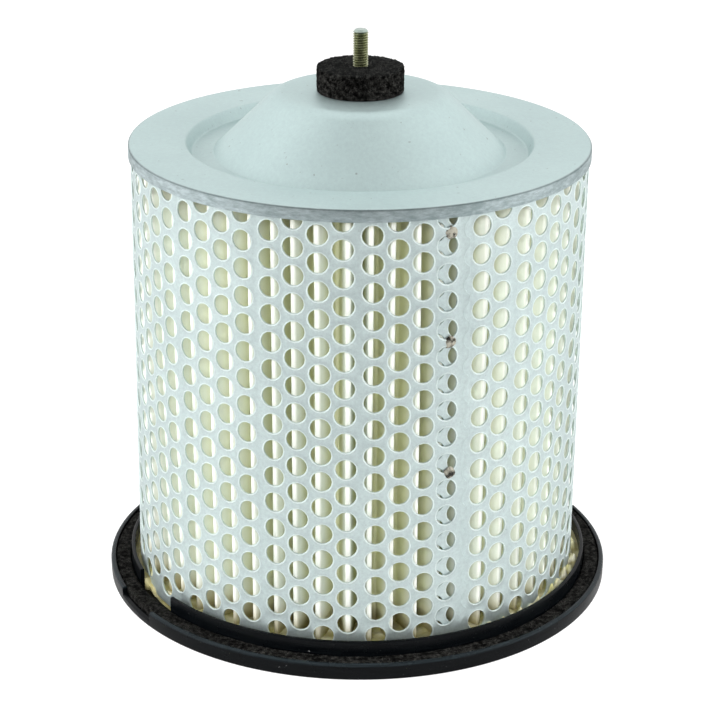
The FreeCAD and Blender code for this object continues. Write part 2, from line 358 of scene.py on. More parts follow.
def perforated(name, columns, ends, radius_at, top_hole, pitch, hole_r, cut_ends):
    """Sheet rolled into a tube, with staggered round holes in columns.

    columns are angles; the first and then every second one is half a pitch lower.
    With cut_ends the sheet's two ends are cut through the first and last columns."""
    quarter = pitch / 4
    z_first = top_hole + pitch / 2
    lines = 4 * math.ceil((z_first - TUBE_BOTTOM) / pitch)
    z_last = z_first - lines * quarter
    per_degree = math.radians(radius_at(180.0))
    side = CELL_SIDE
    verts = []
    faces = []
    rim_highlight_faces = []
    index = {}
    rng = random.Random(4)

    def squeeze(z):
        """Keeps the pattern, but ends it at the tube's own ends."""
        top_knee = TUBE_TOP - TOP_BAND
        low_knee = TUBE_BOTTOM + LOW_BAND
        if z > top_knee:
            return top_knee + (z - top_knee) * (TUBE_TOP - top_knee) / (z_first - top_knee)
        if z < low_knee:
            return low_knee - (low_knee - z) * (low_knee - TUBE_BOTTOM) / (low_knee - z_last)
        return z

    def vert(key, angle, z, depth):
        if key not in index:
            index[key] = len(verts)
            ripple = RIPPLE * wave(angle * 0.05, z * 0.03, seed=3)
            turn = skew(z) if cut_ends else 0.0
            spot = place(radius_at(angle) + ripple - depth, angle + turn, squeeze(z))
            verts.append(lean(spot))
        return index[key]

    def grid(layer, j, i, k):
        """Vertex on grid line i of column j, k quarters from its left border."""
        if k == side:
            j, k = j + 1, 0
        angle = borders[j] + (borders[j + 1] - borders[j]) * k / side if k else borders[j]
        return vert(("g", layer, j, i, k), angle, z_first - i * quarter, layer * SHEET)

    def edge_faces(keys):
        """Closes the sheet between its two layers along a run of grid vertices."""
        for (j0, i0, k0), (j1, i1, k1) in zip(keys, keys[1:]):
            faces.append((grid(0, j0, i0, k0), grid(1, j0, i0, k0),
                          grid(1, j1, i1, k1), grid(0, j1, i1, k1)))

    borders = [ends[0]] + [(a + b) / 2 for a, b in zip(columns, columns[1:])] + [ends[1]]
    whole = range(1, len(columns) - 1) if cut_ends else range(len(columns))

    def hole(j, i):
        """One cell with a hole: face, rounded edge, wall, back."""
        centre = columns[j] + rng.uniform(-STRAY, STRAY) / per_degree
        z = z_first - (i + side / 2) * quarter + rng.uniform(-STRAY, STRAY)
        border = [(j, i + side, k) for k in range(side)]
        border += [(j, i + side - k, side) for k in range(side)]
        border += [(j, i, side - k) for k in range(side)]
        border += [(j, i + k, 0) for k in range(side)]
        rings = []
        for wider, depth in lip_profile(LIP_RISE):
            radius = hole_r + wider
            ring = []
            for k in range(4 * side):
                a = math.radians(-135 + 360 * k / (4 * side))
                angle = centre + radius * math.cos(a) / per_degree
                key = ("h", j, i, k, radius, depth)
                ring.append(vert(key, angle, z + radius * math.sin(a), depth))
            rings.append(ring)
        loops = [[grid(0, *key) for key in border]] + rings + [[grid(1, *key) for key in border]]
        for outer, inner in zip(loops, loops[1:]):
            # The lip's faces take the second, lighter material: a painted highlight round each hole.
            if outer in rings[:2]:
                rim_highlight_faces.extend(range(len(faces), len(faces) + 4 * side))
            for k in range(4 * side):
                n = (k + 1) % (4 * side)
                faces.append((outer[k], outer[n], inner[n], inner[k]))

    def plain(j, i):
        """One line of a column without a hole."""
        for k in range(side):
            faces.append((grid(0, j, i + 1, k), grid(0, j, i + 1, k + 1),
                          grid(0, j, i, k + 1), grid(0, j, i, k)))
            faces.append((grid(1, j, i, k), grid(1, j, i, k + 1),
                          grid(1, j, i + 1, k + 1), grid(1, j, i + 1, k)))

    def scalloped(end):
        """Strip between the last whole column and an end that is cut through holes."""
        fine = CUT_STEPS
        column = len(columns) - 1 if end else 0
        j = column if end else 1
        away = 1 if end else -1
        centre_z = top_hole - (0 if column % 2 else pitch / 2)

        def cut(step, inset, depth):
            z = z_first - step * quarter / fine
            off = abs(z - centre_z - round((z - centre_z) / pitch) * pitch)
            angle = ends[end] - away * inset / per_degree
            if off < hole_r + inset and z > TUBE_BOTTOM + CUT_PLAIN:
                bite = math.sqrt((hole_r + inset) ** 2 - off ** 2) / per_degree
                angle = away * min(away * angle, away * (columns[column] - away * bite))
            return vert(("c", end, step, depth, inset), angle, z, depth)

        profile = lip_profile(CUT_RISE)
        for i in range(lines):
            steps = range(i * fine, (i + 1) * fine + 1)
            front = [cut(s, *profile[0]) for s in reversed(steps)]
            back = [cut(s, *profile[-1]) for s in steps]
            strips = [[grid(0, j, i + 1, 0)] + front + [grid(0, j, i, 0)],
                      [grid(1, j, i, 0)] + back + [grid(1, j, i + 1, 0)]]
            for s in steps[:-1]:
                for upper, lower in zip(profile, profile[1:]):
                    strips.append((cut(s, *upper), cut(s + 1, *upper),
                                   cut(s + 1, *lower), cut(s, *lower)))
            for face in strips:
                faces.append(face if end else face[::-1])
        for i in (0, lines):
            rim = [grid(0, j, i, 0)] + [cut(i * fine, *spot) for spot in profile] + [grid(1, j, i, 0)]
            faces.append(rim if (i == 0) == bool(end) else rim[::-1])

    for j in whole:
        i = 0
        while i < lines:
            foot = z_first - (i + side / 2) * quarter < TUBE_BOTTOM + LOW_MARGIN + hole_r
            if j % 2 == 0 and i < side // 2 or i + side > lines or foot:
                plain(j, i)
                i += 1
            else:
                hole(j, i)
                i += side
        edge_faces([(j, 0, k) for k in range(side + 1)][::-1])
        edge_faces([(j, lines, k) for k in range(side + 1)])
    if cut_ends:
        scalloped(0)
        scalloped(1)
    else:
        edge_faces([(0, i, 0) for i in range(lines + 1)])
        edge_faces([(len(columns) - 1, i, side) for i in range(lines + 1)][::-1])
    obj = build(name, verts, faces, 40.0)
    for k in rim_highlight_faces:
        obj.data.polygons[k].material_index = 1
    return obj


def make_shell():
    hidden_gaps = GROUPS - 1 - len(FRONT_GAPS)
    in_groups = GROUPS * (GROUP - 1) * IN_GROUP
    spare = LAST_COLUMN - FIRST_COLUMN - in_groups - len(FRONT_GAPS) * GROUP_GAP
    columns = []
    angle = FIRST_COLUMN
    for group in range(GROUPS):
        columns += [angle + IN_GROUP * k for k in range(GROUP)]
        gap = GROUP_GAP if group in FRONT_GAPS else spare / hidden_gaps
        angle = columns[-1] + gap
    columns.append(LAST_COLUMN + GROUP_GAP)
    columns[0] += CUT_SHIFT
    columns[1] += LAP_SHIFT

    def radius_at(angle):
        under = 1 - smoothstep(*LAP_STEP, angle)
        return SHELL_R - 0.08 - (SHEET + LAP_CLEAR) * under

    return perforated("outer_shell_sheet", columns, (INNER_END, OUTER_END), radius_at,
                      TOP_HOLE, HOLE_PITCH, HOLE_R, True)


def make_core():
    step = 360.0 / CORE_COLUMNS
    columns = [step * k for k in range(CORE_COLUMNS + 1)]

    def radius_at(angle):
        under = 1 - smoothstep(*CORE_LAP_STEP, angle)
        return CORE_SHEET_R - (SHEET + CORE_LAP_CLEAR) * under

    return perforated("core_tube", columns, (-step / 2, 360.0 + step * CORE_END), radius_at,
                      CORE_TOP_HOLE, CORE_PITCH, CORE_HOLE_R, False)


def fold_angles(rng):
    """Angles of all folds, the seen ones first."""
    hidden = FOLDS - len(SEEN_FOLDS)
    first, last = SEEN_FOLDS[0] + 360.0, SEEN_FOLDS[-1]
    step = (first - last) / (hidden + 1)
    behind = [last + step * (k + 1) + rng.uniform(-FOLD_STRAY, FOLD_STRAY) for k in range(hidden)]
    return list(SEEN_FOLDS) + behind


def ridge_profile(tip):
    """Flat fold with small round corners, as (sideways, outwards) steps."""
    half = (FRONT_FOLD_FLAT if abs(tip) < FRONT_FOLDS else FOLD_FLAT) / 2
    corner = [(half + FOLD_CORNER * math.sin(a), FOLD_CORNER * (math.cos(a) - 1))
              for a in (math.radians(d) for d in (10, 45, 80))]
    flat = [(-half * t, 0.0) for t in (0.92, 0.45, 0.0, -0.45, -0.92)]
    return [(-x, y) for x, y in reversed(corner)] + flat + corner


def pleat_path():
    """Cross-section of the pleated strip as (fold number, angle, radius) round the circle."""
    rng = random.Random(12)
    tips = fold_angles(rng)
    bends = []
    for k, tip in enumerate(tips):
        after = tips[k + 1] if k + 1 < len(tips) else tips[0] + 360.0
        bends.append((tip, PLEAT_R - TIP_SHORT - rng.uniform(0.0, TIP_UNEVEN), 1))
        middle = (tip + after) / 2 + rng.uniform(-VALLEY_STRAY, VALLEY_STRAY)
        bends.append((middle, CORE_R + VALLEY_RISE + rng.uniform(0.0, VALLEY_RISE), -1))
    valley = [(VALLEY_R * math.sin(a), VALLEY_R * (math.cos(a) - 1))
              for a in (math.radians(d) for d in range(-80, 81, 20))]
    path = []
    for n, (angle, radius, side) in enumerate(bends):
        profile = ridge_profile(angle) if side > 0 else valley
        path += [(n, angle + math.degrees(x / radius), radius + side * y) for x, y in profile]
        after = bends[(n + 1) % len(bends)]
        wrap = 360.0 if n + 1 == len(bends) else 0.0
        a0, r0 = path[-1][1:]
        edge = (valley if side > 0 else ridge_profile(after[0]))[0]
        a1 = after[0] + wrap + math.degrees(edge[0] / after[1])
        r1 = after[1] - side * edge[1]
        for k in range(1, FLANK_STEPS):
            t = k / FLANK_STEPS
            path.append((n, a0 + (a1 - a0) * t, r0 + (r1 - r0) * t))
    return path


def make_pleats():
    """Pleated strip: narrow flat folds, a little uneven in spacing, reach and lean."""
    path = pleat_path()
    rows = PAPER_ROWS
    verts = []
    faces = []
    count = len(path)
    for row in range(rows + 1):
        t = row / rows
        z = PLEAT_BOTTOM + (PLEAT_TOP + 0.5 - PLEAT_BOTTOM) * t
        for n, angle, radius in path:
            sway = 0.22 * wave(n * 0.9, t * 2.2, seed=1) + 0.07 * wave(n * 2.0, t * 14, seed=2)
            swell = 0.2 * wave(n * 1.7, t * 3.0, seed=5)
            reach = (radius - CORE_R) / (PLEAT_R - CORE_R)
            turned = angle + FOLD_SKEW * (1 - t) + math.degrees(sway * reach / radius)
            verts.append(lean(place(radius + swell * reach, turned, z)))
    for row in range(rows):
        for k in range(count):
            n = (k + 1) % count
            low, high = row * count, (row + 1) * count
            faces.append((low + k, low + n, high + n, high + k))
    obj = build("filter_paper", verts, faces, 60.0)
    thick = obj.modifiers.new("paper_thickness", "SOLIDIFY")
    thick.thickness = PAPER * MM
    thick.offset = 0.0
    return obj


def make_cap():
    """One stamping of even sheet, a little dented, with a crease drawn into the rim's bend."""
    top = [(CAP_R, SKIRT_BOTTOM + SKIRT_TRIM, 0), (CAP_R, CAP_TOP, RIM_BEND),
           (STEP_R, CAP_TOP, STEP_BEND), (STEP_FOOT_R, RECESS_Z, STEP_FOOT_BEND),
           (CONE_FOOT_R, RECESS_Z, CONE_FOOT_BEND), (CONE_TOP_R, PLATEAU_TOP, PLATEAU_BEND),
           (SHANK_R + 0.15, PLATEAU_TOP, 0)]
    under = beside(top, CAP_SHEET)
    outline = rounded(top, closed=False, steps=10) + rounded(under, closed=False, steps=8)[::-1]
    flat_spots = set(spaced(outline, FLAT_STEP))

    def kept(r, z):
        return (r > SKIRT_R and z < CAP_TOP - 1.0) or (r, z) in flat_spots

    def dents(degrees, r, z):
        a = math.radians(degrees)
        x, y = r * math.sin(a), -r * math.cos(a)
        skirt = smoothstep(*SKIRT_FROM, r)
        crease = CREASE_DEPTH * math.exp(-((z - CREASE_Z) / CREASE_WIDTH) ** 2)
        sideways = 0.06 * wave(math.sin(a) * 3, math.cos(a) * 3, z * 0.2, seed=9) - 0.06 - crease
        upwards = 0.13 * wave(x * 0.03, y * 0.03, seed=7) + 0.03 * wave(x * 0.09, y * 0.09, seed=8)
        return sideways * skirt, upwards * (1 - skirt)

    spots = [spot for spot in spaced(outline, SKIRT_STEP) if kept(*spot)]
    return lathe("end_cap", spots, CAP_AROUND, dents)


def make_stud():
    """Rolled thread over a plain shank, with a flat weld head under the plateau."""
    around = 40
    under = PLATEAU_TOP - CAP_SHEET
    foot = WASHER_TOP - 1.5
    rows = int((STUD_TOP - foot) / THREAD_PITCH * THREAD_STEPS)

    def thread_radius(degrees, z):
        t = (z / THREAD_PITCH - degrees / 360.0) % 1.0
        ridge = min(1.0, max(0.0, (abs(t - 0.5) - 0.09) / 0.32))
        fade = smoothstep(foot, foot + 1.0, z)
        r = SHANK_R + (STUD_R - THREAD_DEPTH * ridge - SHANK_R) * fade
        return min(r, STUD_R - STUD_CHAMFER + (STUD_TOP - z) * 1.1)

    plain = [(STUD_HEAD_R - 0.3, under - HEAD_HEIGHT), (STUD_HEAD_R, under - HEAD_HEIGHT + 0.3),
             (STUD_HEAD_R, under - 0.05), (SHANK_R, under - 0.05), (SHANK_R, foot)]
    rings = [[spot] * around for spot in plain]
    for k in range(1, rows + 1):
        z = foot + (STUD_TOP - foot) * k / rows
        rings.append([(thread_radius(360.0 * j / around, z), z) for j in range(around)])
    rings.append([(0.9, STUD_TOP)] * around)
    verts = [place(r, 360.0 * j / around, z) for ring in rings for j, (r, z) in enumerate(ring)]
    bottom = len(verts)
    top = bottom + 1
    verts += [place(0, 0, under - HEAD_HEIGHT), place(0, 0, STUD_TOP - 0.12)]
    last = (len(rings) - 1) * around
    faces = []
    for j in range(around):
        n = (j + 1) % around
        faces.append((bottom, n, j))
        faces.append((top, last + j, last + n))
        for i in range(0, last, around):
            faces.append((i + j, i + n, i + around + n, i + around + j))
    return build("threaded_stud", verts, faces, 50.0)


def pore(point, scale, seed):
    """Noise at a point, with that many features per millimetre."""
    return wave(point.x * scale, point.y * scale, point.z * scale, seed=seed)


def make_washer():
    """Foam pad round the stud, its rim and upper face uneven with pores."""
    inner, outer = SHANK_R + 0.3, WASHER_R - 0.2
    foot, top = WASHER_BOTTOM + 0.05, WASHER_TOP - 0.1
    corners = [(inner, foot, 0.3), (outer, foot, 0.5), (outer, top, 0.7), (inner, top, 0.6)]
    outline = spaced(rounded(corners, steps=3), PAD_STEP)

    def pores(degrees, r, z):
        p = place(r, degrees, z) / MM
        size = 0.15 - 1.5 * abs(pore(p, PAD_PORES, 11)) + 0.05 * pore(p, 0.2, 12)
        level = smoothstep(WASHER_BOTTOM + 0.3, WASHER_BOTTOM + 1.0, z)
        edge = 1.0 if r > WASHER_R - 1 else 0.3
        upper = 1.0 if z > WASHER_TOP - 0.7 else 0.0
        return size * edge * level, size * upper

    return lathe("foam_pad", outline, PAD_AROUND, pores, 60.0)


def make_seal():
    """Foam ring in the channel, its upper face uneven with pores."""
    inner, outer = DAM_R + 0.25, CHANNEL_R - 0.2
    foot, top = SEAL_BOTTOM + 0.02, SEAL_TOP + 0.1
    corners = [(inner, foot, 0.1), (outer, foot, 0.1), (outer, top, 0.7), (inner, top, 0.7)]
    outline = spaced(rounded(corners, steps=3), SEAL_STEP)

    def pores(degrees, r, z):
        p = place(r, degrees, z) / MM
        soft = wave(p.x * 0.08, p.y * 0.08, seed=22)
        up = smoothstep(SEAL_BOTTOM + 0.5, SEAL_TOP, z)
        return 0.0, (0.22 * soft - 0.5 * abs(pore(p, SEAL_PORES, 21))) * up

    return lathe("foam_seal", outline, SEAL_AROUND, pores, 60.0)


def from_notch(degrees, shift=0.0):
    """Degrees to the nearest notch, or to a line that far to its left."""
    return min(abs((degrees - centre + 180) % 360 - 180 + shift) for centre in NOTCH_CENTRES)


def make_ring():
    """Moulded ring; its walls drop to a ledge and to a low sill in the two notches."""
    around = [2.0 * k for k in range(-90, 90)]
    for centre in NOTCH_CENTRES:
        for width in (NOTCH_ANGLE, DAM_OPEN_ANGLE):
            for spot in (centre - width / 2, centre + width / 2):
                around = [a for a in around if abs(a - spot) > 0.6]
                around += [spot - 0.22, spot - 0.04, spot + 0.04, spot + 0.22]
    around = sorted(around)

    def outline(degrees):
        off = from_notch(degrees)
        gap = off < DAM_OPEN_ANGLE / 2
        wall = NOTCH_LEDGE if off < NOTCH_ANGLE / 2 else RING_TOP
        dam = RING_FLOOR + SILL if gap else DAM_TOP + DAM_RAISE
        corners = [(OUTLET_R, RING_BOTTOM, 0.3), (RING_R - 0.1, RING_BOTTOM, 0.7),
                   (RING_R, wall, 0.95), (CHANNEL_R + 0.05, wall, 0.3),
                   (CHANNEL_R - 0.1, RING_FLOOR, 0.2), (DAM_R + 0.05, RING_FLOOR, 0.2),
                   (DAM_R, dam, 0.2 if gap else 0.45), (DAM_BORE, dam, 0.2 if gap else 0.35),
                   (DAM_BORE, RING_FLOOR, 0.1), (COLLAR_R, RING_FLOOR, 0.2),
                   (COLLAR_R, DAM_TOP, 0.4), (OUTLET_R, DAM_TOP, 0.4)]
        return rounded(corners, steps=5)

    verts = []
    faces = []
    for degrees in around:
        a = math.radians(degrees)
        warp = 0.08 * wave(math.sin(a) * 1.5, math.cos(a) * 1.5, seed=31)
        for r, z in outline(degrees):
            verts.append(place(r + (warp if 60 < r < RING_R - 1 else 0), degrees, z))
    count = len(outline(0))
    total = len(around)
    for j in range(total):
        n = (j + 1) % total
        for i in range(count):
            k = (i + 1) % count
            faces.append((n * count + i, n * count + k, j * count + k, j * count + i))
    return build("base_ring_moulding", verts, faces, 35.0)


def make_glue():
    """Adhesive in the trough, lumpy where it has crept up the shell and out of the gaps."""
    outer = DAM_BORE - 0.05
    flat = [(COLLAR_R + 0.05, RING_FLOOR + 0.02), (outer, RING_FLOOR + 0.02)]
    steps = 46
    top = [(outer + (COLLAR_R + 0.05 - outer) * k / steps, GLUE_TOP) for k in range(steps + 1)]
    lowest = RING_FLOOR + 0.3 - GLUE_TOP

    def crept(degrees):
        """Share by which it has crept up the shell on the right and on the left."""
        start, full, fading, end = CREPT_RIGHT if degrees < 180 else CREPT_LEFT
        return smoothstep(start, full, degrees) * smoothstep(end, fading, degrees)

    def creep(degrees, r, z):
        gap = from_notch(degrees) <= (DAM_OPEN_ANGLE - 1.0) / 2
        if z < GLUE_TOP:
            return (-1.4 if gap and r > 70 else 0.0), 0.0
        a = math.radians(degrees)
        x, y = math.sin(a), -math.cos(a)
        lump = wave(x * 9, y * 9, seed=41) * 0.6 + wave(x * 26, y * 26, r * 0.4, seed=42) * 1.7
        climb = smoothstep(77.5, 75.8, r) * smoothstep(73.0, 74.6, r)
        rise = (0.15 + CREPT_RISE * crept(degrees)) * max(0.0, lump + 0.1) * climb
        rise += 0.5 * wave(x * 15, y * 15, r * 0.3, seed=43) - smoothstep(74.9, 75.3, r)
        if not gap:
            return 0.0, rise
        ragged = 0.6 + 0.6 * wave(degrees * 0.45, 1.0, seed=44)
        filled = smoothstep(*FILLED, from_notch(degrees, FILLED_SHIFT))
        outside = smoothstep(74.8, 75.2, r)
        empty = outside * (1 - filled)
        slump = 1.4 * smoothstep(75.2, 77.5, r) + outside * (1.2 - 1.6 * filled * ragged) + 3.4 * empty
        return -1.1 * outside * ragged - empty, max(rise - slump, lowest)

    outline = spaced(flat, 3.0, closed=False) + top
    return lathe("trough_glue", outline, GLUE_AROUND, creep, 60.0)


def make_top_glue():
    """Adhesive under the cap, its lower face a little lumpy."""
    inner, outer = POT_RADII
    foot, top = POT_BOTTOM + POT_FOOT, TUBE_TOP + 0.4
    corners = [(inner, foot, 0.4), (outer, foot, 0.4), (outer, top, 0.2), (inner, top, 0.2)]
    outline = spaced(rounded(corners, steps=2), 1.5)

    def lumps(degrees, r, z):
        a = math.radians(degrees)
        low = 1.0 if z < POT_BOTTOM + 2.2 else 0.0
        return 0.0, 0.35 * low * wave(r * 0.5 * math.sin(a), r * 0.5 * math.cos(a), seed=51)

    return lathe("cap_glue", outline, POT_AROUND, lumps, 60.0)


def make_welds():
    """Burnt spot welds on the lap."""
    verts = []
    faces = []
    around = 14
    rings = 5
    for n, height in enumerate(WELD_HEIGHTS):
        base = len(verts)
        size = WELD_R + 0.2 * wave(n * 3.1, seed=61)
        turned = WELD_ANGLE + skew(height)
        verts.append(lean(place(SHELL_R + 0.3, turned, height)))
        for i in range(1, rings + 1):
            for j in range(around):
                a = 2 * math.pi * j / around
                c, s = math.cos(a), math.sin(a)
                r = size * i / rings * (1 + 0.3 * wave(c * 2, s * 2, n * 5.0, seed=62))
                hump = WELD_HUMP * (1 - (i / rings) ** 2) + 0.16 * wave(r * c * 2, r * s * 2, n, seed=63)
                deep = -0.25 if i == rings else 0.0
                spot = place(SHELL_R - 0.1 + max(0.0, hump) + deep,
                             turned + math.degrees(r * c / SHELL_R), height + r * s)
                verts.append(lean(spot))
        for j in range(around):
            k = (j + 1) % around
            faces.append((base, base + 1 + j, base + 1 + k))
            for i in range(rings - 1):
                p = base + 1 + i * around
                faces.append((p + j, p + around + j, p + around + k, p + k))
        faces.append([base + 1 + (rings - 1) * around + j for j in range(around)][::-1])
    return build("spot_welds", verts, faces, 60.0)


def node(tree, kind, inputs=None, **settings):
    """New shader node with its settings, and its sockets linked or set."""
    made = tree.nodes.new("ShaderNode" + kind)
    for key, value in settings.items():
        setattr(made, key, value)
    for key, value in (inputs or {}).items():
        if isinstance(value, bpy.types.NodeSocket):
            tree.links.new(value, made.inputs[key])
        else:
            made.inputs[key].default_value = value
    return made


def coordinates(tree):
    return tree.nodes.new("ShaderNodeTexCoord").outputs["Object"]


def noise_of(tree, where, scale, detail=3.0, rough=0.5):
    """Noise whose scale is in features per millimetre."""
    return node(tree, "TexNoise", {"Vector": where, "Scale": scale / MM, "Detail": detail,
                                   "Roughness": rough}).outputs["Fac"]


def spread(tree, value, low, high, to_low=0.0, to_high=1.0):
    return node(tree, "MapRange", {"Value": value, "From Min": low, "From Max": high,
                                   "To Min": to_low, "To Max": to_high}).outputs["Result"]


def blend(tree, share, first, second):
    """Colour between two, by a share that is a socket or a number."""
    made = node(tree, "Mix", data_type="RGBA")
    for socket, value in ((made.inputs[0], share), (made.inputs[6], first), (made.inputs[7], second)):
        if isinstance(value, bpy.types.NodeSocket):
            tree.links.new(value, socket)
        elif isinstance(value, tuple):
            socket.default_value = (*value, 1.0)
        else:
            socket.default_value = value
    return made.outputs[2]


def calc(tree, operation, a, b=0.0):
    return node(tree, "Math", {0: a, 1: b}, operation=operation).outputs[0]


def product(tree, first, *others):
    for other in others:
        first = calc(tree, "MULTIPLY", first, other)
    return first


def weighted(tree, first, share, second):
    """A share of the first value, and the rest of the second."""
    return calc(tree, "ADD", product(tree, first, share), product(tree, second, 1 - share))


def height_of(tree, where):
    return node(tree, "SeparateXYZ", {"Vector": where}).outputs["Z"]


def radius_of(tree, where):
    """Distance from the axis."""
    flat = node(tree, "VectorMath", {0: where, 1: (1.0, 1.0, 0.0)}, operation="MULTIPLY").outputs[0]
    return node(tree, "VectorMath", {0: flat}, operation="LENGTH").outputs["Value"]


def stretched(tree, where, sideways, up):
    return node(tree, "Mapping", {"Vector": where, "Scale": (sideways, sideways, up)}).outputs[0]


def start(name, **values):
    """Material with a Principled shader, and its constant sockets set."""
    material = bpy.data.materials.new(name)
    material.use_nodes = True
    shader = material.node_tree.nodes["Principled BSDF"]
    for key, value in values.items():
        shader.inputs[key.replace("_", " ")].default_value = value
    return material, material.node_tree, shader


def link(tree, shader, **values):
    for key, value in values.items():
        tree.links.new(value, shader.inputs[key.replace("_", " ")])


def bump(tree, shader, height, distance, strength=1.0):
    inputs = {"Height": height, "Distance": distance * MM, "Strength": strength}
    link(tree, shader, Normal=node(tree, "Bump", inputs).outputs["Normal"])


def zinc(name, light, dark, rough, smudge, metallic):
    """Zinc-coated sheet: fine mottled spangle, clouds, a few dark pits."""
    material, tree, shader = start(name, Metallic=metallic)
    where = coordinates(tree)
    clouds = noise_of(tree, where, 0.03, 4.0, 0.6)
    grain = noise_of(tree, where, 0.8, 3.0, 0.75)
    shade = weighted(tree, clouds, 0.35, grain)
    colour = blend(tree, spread(tree, shade, 0.36, 0.64), dark, light)
    pits = noise_of(tree, where, 0.55, 1.0, 0.5)
    colour = blend(tree, spread(tree, pits, 0.745, 0.80, 0.0, smudge), colour, (0.16, 0.17, 0.16))
    link(tree, shader, Roughness=spread(tree, grain, 0.3, 0.7, rough - 0.06, rough + 0.08))
    bump(tree, shader, calc(tree, "ADD", grain, clouds), 0.02, 0.5)
    return material, tree, shader, colour


def sheet_zinc(name, light, dark):
    material, tree, shader, colour = zinc(name, light, dark, 0.52, 0.15, 0.85)
    link(tree, shader, Base_Color=colour)
    return material


def cap_zinc():
    """The cap's sheet, with a skirt streaked light and dark round about, and fully metallic."""
    light, dark = (0.57, 0.70, 0.69), (0.49, 0.61, 0.61)
    material, tree, shader, colour = zinc("cap_zinc", light, dark, 0.50, 0.5, 0.8)
    where = coordinates(tree)
    skirt = spread(tree, radius_of(tree, where), (CAP_R - 0.75) * MM, (CAP_R - 0.25) * MM)
    rubbed = noise_of(tree, stretched(tree, where, 0.28, 1.0), 1.1, 4.0, 0.7)
    patches = noise_of(tree, where, 0.07, 3.0, 0.6)
    dull = spread(tree, weighted(tree, rubbed, 0.55, patches), 0.40, 0.62)
    tone = blend(tree, dull, (0.34, 0.42, 0.43), (0.66, 0.75, 0.77))
    height = height_of(tree, where)
    # Painted shade: a thin dark line along the crease in the rim's bend.
    below = spread(tree, height, (CREASE_Z + 0.35) * MM, (CREASE_Z + 0.1) * MM)
    above = spread(tree, height, (CREASE_Z - 0.35) * MM, (CREASE_Z - 0.1) * MM)
    tone = blend(tree, product(tree, below, above, 0.55), tone, (0.10, 0.13, 0.13))
    colour = blend(tree, product(tree, skirt, 0.9), colour, tone)
    link(tree, shader, Base_Color=colour, Metallic=spread(tree, skirt, 0.0, 1.0, 0.8, 1.0))
    return material


def paper():
    """Filter paper: fibrous, with painted light on the fold tips and painted shade deep in the valleys,
    ochre where glue soaked in.
    """
    material, tree, shader = start("filter_paper", Roughness=0.9)
    where = coordinates(tree)
    fibre = noise_of(tree, stretched(tree, where, 1.0, 0.35), 1.2, 4.0, 0.65)
    clouds = noise_of(tree, where, 0.05, 3.0)
    colour = blend(tree, spread(tree, fibre, 0.3, 0.7), (0.81, 0.85, 0.77), (0.87, 0.91, 0.84))
    colour = blend(tree, spread(tree, clouds, 0.35, 0.65, 0.0, 0.3), colour, (0.82, 0.80, 0.66))
    out = radius_of(tree, where)
    # Painted shade: darker olive deep in the valleys between the folds.
    deep = spread(tree, out, (PLEAT_R - 3.5) * MM, (PLEAT_R - 8.0) * MM)
    colour = blend(tree, deep, colour, (0.74, 0.75, 0.54))
    # Painted highlight: near white on the fold tips that lie just behind the holes.
    tip = spread(tree, out, (PLEAT_R - 1.45) * MM, (PLEAT_R - 1.0) * MM)
    colour = blend(tree, tip, colour, (0.95, 0.96, 0.90))
    soaked = calc(tree, "ADD", height_of(tree, where), product(tree, clouds, 10 * MM))
    soaked = spread(tree, soaked, 21 * MM, 10 * MM, 0.0, 0.9)
    colour = blend(tree, soaked, colour, (0.52, 0.44, 0.18))
    link(tree, shader, Base_Color=colour)
    bump(tree, shader, fibre, 0.05, 0.5)
    return material


def foam(name, painted_light_top=None):
    """Open-cell foam: near black with lighter cell walls, and above a height a lighter top, painted
    light from above.
    """
    material, tree, shader = start(name, Roughness=0.95, Specular_IOR_Level=0.05)
    where = coordinates(tree)
    drift = node(tree, "TexNoise", {"Vector": where, "Scale": 0.9 / MM, "Detail": 1.0})
    reach = (0.4 * MM, 0.4 * MM, 0.4 * MM)
    warp = node(tree, "VectorMath", {0: drift.outputs["Color"], 1: reach}, operation="MULTIPLY")
    warped = node(tree, "VectorMath", {0: where, 1: warp.outputs[0]}, operation="ADD").outputs[0]
    cells = node(tree, "TexVoronoi", {"Vector": warped, "Scale": 2.3 / MM}, feature="DISTANCE_TO_EDGE")
    walls = spread(tree, cells.outputs["Distance"], 0.0, 0.22, 1.0, 0.0)
    clouds = spread(tree, noise_of(tree, where, 0.7, 3.0), 0.38, 0.62, 0.05, 1.0)
    lit = product(tree, walls, clouds)
    colour = blend(tree, lit, (0.0004, 0.0004, 0.0004), (0.068, 0.067, 0.062))
    if painted_light_top:
        # Painted light: the top face made lighter, as if lit from above.
        low, high = (painted_light_top - 0.9) * MM, (painted_light_top - 0.3) * MM
        top_light = spread(tree, height_of(tree, where), low, high, 0.0, 0.2)
        colour = blend(tree, top_light, colour, (0.055, 0.059, 0.058))
    link(tree, shader, Base_Color=colour)
    bump(tree, shader, walls, 0.25, 1.0)
    return material


